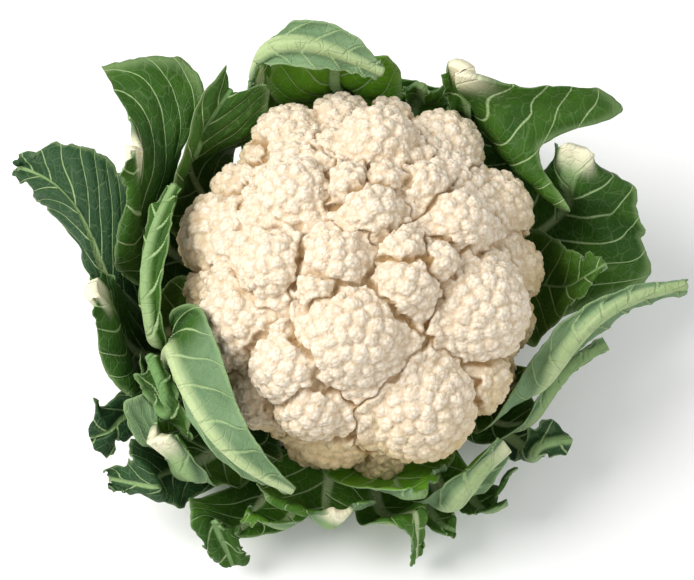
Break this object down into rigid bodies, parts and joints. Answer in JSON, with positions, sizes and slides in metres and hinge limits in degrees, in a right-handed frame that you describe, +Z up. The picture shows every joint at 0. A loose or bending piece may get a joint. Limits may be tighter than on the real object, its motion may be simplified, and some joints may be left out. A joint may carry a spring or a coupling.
{
  "type": "cauliflower",
  "caption": "Trimmed cauliflower head: cream curd in a collar of cut and folded green leaves, standing on its cut stalk.",
  "frame": {"origin": "middle of the stalk's cut face, on which the head rests", "axes": "+Z up through the top of the curd; the front of the head, nearest the viewer, faces -Y"},
  "size_m": [0.303, 0.2328, 0.1387],
  "materials": {
    "curd": "matte",
    "leaf": "satin",
    "stalk": "satin"
  },
  "bodies": {
    "root": {"curd": "curd", "stalk": "stalk", "leaf_back_folded": "leaf", "leaf_back_inner": "leaf", "leaf_back_right": "leaf", "leaf_back_small": "leaf", "leaf_far_left": "leaf", "leaf_front_bright": "leaf", "leaf_front_left": "leaf", "leaf_front_left_curl": "leaf", "leaf_front_low": "leaf", "leaf_front_right_low": "leaf", "leaf_front_right_stub": "leaf", "leaf_front_right_wing": "leaf", "leaf_front_strap": "leaf", "leaf_left_inner": "leaf", "leaf_left_loop": "leaf", "leaf_left_middle": "leaf", "leaf_left_stub": "leaf", "leaf_low_back": "leaf", "leaf_low_front_left": "leaf", "leaf_low_left": "leaf", "leaf_low_left_outer": "leaf", "leaf_right_long": "leaf", "leaf_right_small": "leaf", "leaf_right_strip": "leaf", "leaf_right_upper": "leaf", "leaf_upper_inner": "leaf", "leaf_upper_left": "leaf", "leaf_wrap": "leaf"}
  },
  "joints": []
}
